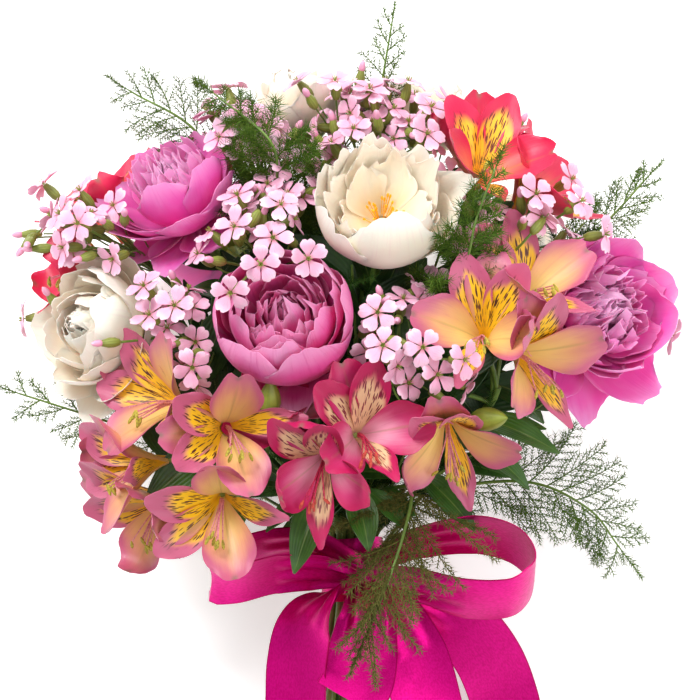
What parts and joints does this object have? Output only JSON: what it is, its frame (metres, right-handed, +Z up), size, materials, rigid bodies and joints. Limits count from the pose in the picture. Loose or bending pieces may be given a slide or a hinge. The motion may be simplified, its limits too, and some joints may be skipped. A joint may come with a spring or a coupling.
{
  "type": "peony bouquet",
  "caption": "Hand-tied bouquet lying on its back: peonies, Peruvian lilies, soapwort and asparagus fern, their stems held by a wide satin ribbon with a bow.",
  "frame": {"origin": "middle of the laid bouquet's underside, on the surface that it lies on", "axes": "+Z up from that surface; +Y level, from the cut stem ends towards the blooms; +X to the right for someone who looks down on it with the blooms at the top"},
  "size_m": [0.3686, 0.452, 0.2042],
  "materials": {
    "pink_petals": "satin",
    "deep_pink_petals": "satin",
    "white_petals": "satin",
    "gold_petals": "satin",
    "crimson_petals": "satin",
    "coral_petals": "satin",
    "soapwort_pink": "matte",
    "green_stems": "satin",
    "fern_green": "matte",
    "satin_ribbon": "satin"
  },
  "bodies": {
    "root": {"fern_centre_left": "fern_green", "fern_left_low": "fern_green", "fern_over_ribbon": "fern_green", "fern_right": "fern_green", "fern_right_low": "fern_green", "fern_right_plume": "fern_green", "fern_top": "fern_green", "fern_top_left": "fern_green", "lily_coral_flower_1": "coral_petals", "lily_coral_flower_2": "coral_petals", "lily_coral_flower_3": "coral_petals", "lily_coral_left_flower_1": "coral_petals", "lily_coral_left_flower_2": "coral_petals", "lily_coral_left_stem": "green_stems", "lily_coral_stem": "green_stems", "lily_crimson_flower_1": "crimson_petals", "lily_crimson_flower_2": "crimson_petals", "lily_crimson_flower_3": "crimson_petals", "lily_crimson_stem": "green_stems", "lily_left_flower_1": "gold_petals", "lily_left_flower_2": "gold_petals", "lily_left_flower_3": "gold_petals", "lily_left_flower_4": "gold_petals", "lily_left_flower_5": "gold_petals", "lily_left_stem": "green_stems", "lily_right_flower_1": "gold_petals", "lily_right_flower_2": "gold_petals", "lily_right_flower_3": "gold_petals", "lily_right_flower_4": "gold_petals", "lily_right_stem": "green_stems", "peony_pink_behind": "pink_petals", "peony_pink_behind_stem": "green_stems", "peony_pink_centre": "deep_pink_petals", "peony_pink_centre_stem": "green_stems", "peony_pink_left": "pink_petals", "peony_pink_left_stem": "green_stems", "peony_pink_right": "pink_petals", "peony_pink_right_stem": "green_stems", "peony_white_behind": "white_petals", "peony_white_behind_stem": "green_stems", "peony_white_centre": "white_petals", "peony_white_centre_stem": "green_stems", "peony_white_left": "white_petals", "peony_white_left_stem": "green_stems", "peony_white_low": "white_petals", "peony_white_low_stem": "green_stems", "peony_white_top": "white_petals", "peony_white_top_stem": "green_stems", "ribbon_band": "satin_ribbon", "ribbon_bow": "satin_ribbon", "soapwort_behind": "soapwort_pink", "soapwort_centre": "soapwort_pink", "soapwort_front": "soapwort_pink", "soapwort_left": "soapwort_pink", "soapwort_left_low": "soapwort_pink", "soapwort_right": "soapwort_pink", "soapwort_top": "soapwort_pink", "soapwort_top_left": "soapwort_pink"}
  },
  "joints": []
}
